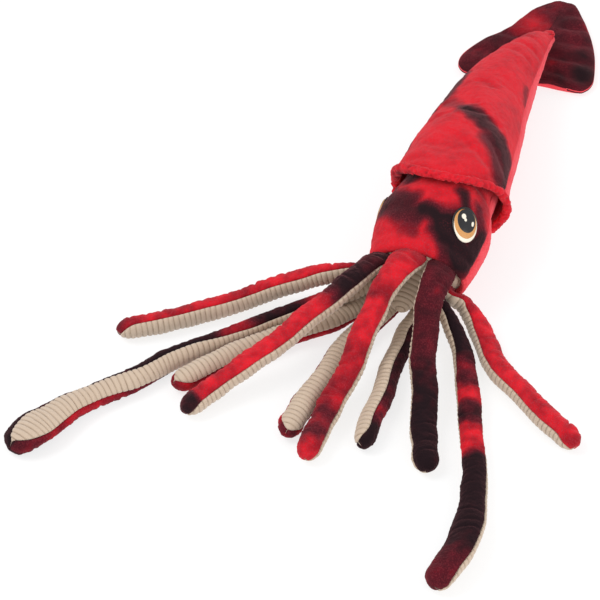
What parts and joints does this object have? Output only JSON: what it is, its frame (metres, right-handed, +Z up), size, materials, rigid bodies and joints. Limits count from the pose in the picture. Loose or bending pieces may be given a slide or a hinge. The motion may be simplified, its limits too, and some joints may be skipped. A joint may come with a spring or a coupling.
{
  "type": "plush squid toy",
  "caption": "Soft stuffed giant squid toy of red and burgundy velour with ribbed cream corduroy undersides, jointed arms and tentacles, and a padded tail fin.",
  "frame": {"origin": "middle of the toy's outline on the plane that it lies on", "axes": "+X along the body towards the tail fin, +Y to the toy's own right, +Z up from the plane"},
  "size_m": [0.9001, 0.5034, 0.124],
  "materials": {
    "plush_red": "short-pile velour, bright red with darker airbrushed patches",
    "plush_burgundy": "short-pile velour, burgundy shading to black",
    "plush_coral": "short-pile velour, coral pink",
    "corduroy_cream": "wide-wale corduroy, ribs across the limb",
    "eye_white": "smooth embroidered patch",
    "eye_amber": "smooth embroidered patch",
    "eye_black": "glossy embroidered patch",
    "stuffing": "polyester fibre fill"
  },
  "bodies": {
    "head": {"head_upper_panel": "plush_red", "head_belly_panel": "plush_coral", "head_stuffing": "stuffing", "mouth_disc": "corduroy_cream", "eye_left_white": "eye_white", "eye_left_iris": "eye_amber", "eye_left_pupil": "eye_black", "eye_right_white": "eye_white", "eye_right_iris": "eye_amber", "eye_right_pupil": "eye_black", "arm_1_root": "plush_red", "arm_5_root": "plush_red", "arm_6_root": "plush_burgundy", "arm_7_root": "plush_red", "arm_8_root": "plush_red", "tentacle_right_root": "plush_burgundy", "tentacle_left_root": "plush_burgundy"},
    "mantle": {"mantle_upper_panel": "plush_red", "mantle_belly_panel": "plush_coral", "mantle_stuffing": "stuffing", "mantle_hem": "plush_red", "fin_spine": "plush_burgundy"},
    "fin_left": {"fin_left_upper": "plush_burgundy", "fin_left_lower": "plush_coral", "fin_left_wadding": "stuffing"},
    "fin_right": {"fin_right_upper": "plush_burgundy", "fin_right_lower": "plush_coral", "fin_right_wadding": "stuffing"},
    "arm_1": {"arm_1_plush": "plush_red", "arm_1_corduroy": "corduroy_cream", "arm_1_stuffing": "stuffing"},
    "arm_2": {"arm_2_plush": "plush_red", "arm_2_corduroy": "corduroy_cream", "arm_2_stuffing": "stuffing"},
    "arm_3": {"arm_3_plush": "plush_red", "arm_3_corduroy": "corduroy_cream", "arm_3_stuffing": "stuffing"},
    "arm_4": {"arm_4_plush": "plush_burgundy", "arm_4_corduroy": "corduroy_cream", "arm_4_stuffing": "stuffing"},
    "arm_5": {"arm_5_plush": "plush_red", "arm_5_corduroy": "corduroy_cream", "arm_5_stuffing": "stuffing"},
    "arm_6": {"arm_6_plush": "plush_burgundy", "arm_6_corduroy": "corduroy_cream", "arm_6_stuffing": "stuffing"},
    "arm_7": {"arm_7_plush": "plush_red", "arm_7_corduroy": "corduroy_cream", "arm_7_stuffing": "stuffing"},
    "arm_8": {"arm_8_plush": "plush_red", "arm_8_corduroy": "corduroy_cream", "arm_8_stuffing": "stuffing"},
    "tentacle_right_inner": {"tentacle_right_inner": "plush_burgundy"},
    "tentacle_right_club": {"tentacle_right_plush": "plush_burgundy", "tentacle_right_corduroy": "corduroy_cream", "tentacle_right_stuffing": "stuffing"},
    "tentacle_left_inner": {"tentacle_left_inner": "plush_burgundy"},
    "tentacle_left_club": {"tentacle_left_plush": "plush_burgundy", "tentacle_left_corduroy": "corduroy_cream", "tentacle_left_stuffing": "stuffing"}
  },
  "joints": [
    {"name": "neck_turn", "type": "hinge", "parent": "head", "child": "mantle", "pos_m": [0.009, -0.051, 0.06], "axis": [0, 0, 1], "range_deg": [-8, 8]},
    {"name": "fin_right_flap", "type": "hinge", "parent": "mantle", "child": "fin_right", "pos_m": [0.3645, -0.041, 0.014], "axis": [0.9762, -0.2169, 0], "range_deg": [0, 60]},
    {"name": "fin_left_flap", "type": "hinge", "parent": "mantle", "child": "fin_left", "pos_m": [0.3705, -0.0785, 0.014], "axis": [-0.9956, -0.0939, 0], "range_deg": [0, 60]},
    {"name": "arm_1_lift", "type": "hinge", "parent": "head", "child": "arm_1", "pos_m": [-0.12931, 0.03587, 0.0471], "axis": [0.9383, 0.3459, 0], "range_deg": [0, 55]},
    {"name": "arm_2_lift", "type": "hinge", "parent": "head", "child": "arm_2", "pos_m": [-0.112, -0.013, 0.06895], "axis": [0.1878, 0.9822, 0], "range_deg": [0, 60]},
    {"name": "arm_3_lift", "type": "hinge", "parent": "head", "child": "arm_3", "pos_m": [-0.112, -0.043, 0.08201], "axis": [0.1528, 0.9883, 0], "range_deg": [0, 60]},
    {"name": "arm_4_lift", "type": "hinge", "parent": "head", "child": "arm_4", "pos_m": [-0.112, -0.078, 0.07454], "axis": [0.0463, 0.9989, 0], "range_deg": [0, 60]},
    {"name": "arm_5_lift", "type": "hinge", "parent": "head", "child": "arm_5", "pos_m": [-0.14349, -0.13211, 0.02617], "axis": [-0.5298, 0.8481, 0], "range_deg": [0, 55]},
    {"name": "arm_6_lift", "type": "hinge", "parent": "head", "child": "arm_6", "pos_m": [-0.20172, -0.05953, 0.02423], "axis": [-0.0394, 0.9992, 0], "range_deg": [0, 55]},
    {"name": "arm_7_lift", "type": "hinge", "parent": "head", "child": "arm_7", "pos_m": [-0.24427, -0.00219, 0.02263], "axis": [0.144, 0.9896, 0], "range_deg": [0, 55]},
    {"name": "arm_8_lift", "type": "hinge", "parent": "head", "child": "arm_8", "pos_m": [-0.21804, 0.06761, 0.02247], "axis": [0.6479, 0.7617, 0], "range_deg": [0, 55]},
    {"name": "tentacle_right_lift", "type": "hinge", "parent": "head", "child": "tentacle_right_inner", "pos_m": [-0.17295, 0.05359, 0.02751], "axis": [0.7435, 0.6688, 0], "range_deg": [0, 35]},
    {"name": "tentacle_right_curl", "type": "hinge", "parent": "tentacle_right_inner", "child": "tentacle_right_club", "pos_m": [-0.309, 0.167, 0.02305], "axis": [0.6139, 0.7894, 0], "range_deg": [0, 60]},
    {"name": "tentacle_left_lift", "type": "hinge", "parent": "head", "child": "tentacle_left_inner", "pos_m": [-0.17553, -0.12046, 0.02634], "axis": [-0.4099, 0.9121, 0], "range_deg": [0, 35]},
    {"name": "tentacle_left_curl", "type": "hinge", "parent": "tentacle_left_inner", "child": "tentacle_left_club", "pos_m": [-0.342, -0.179, 0.02385], "axis": [-0.1801, 0.9836, 0], "range_deg": [0, 60]}
  ]
}
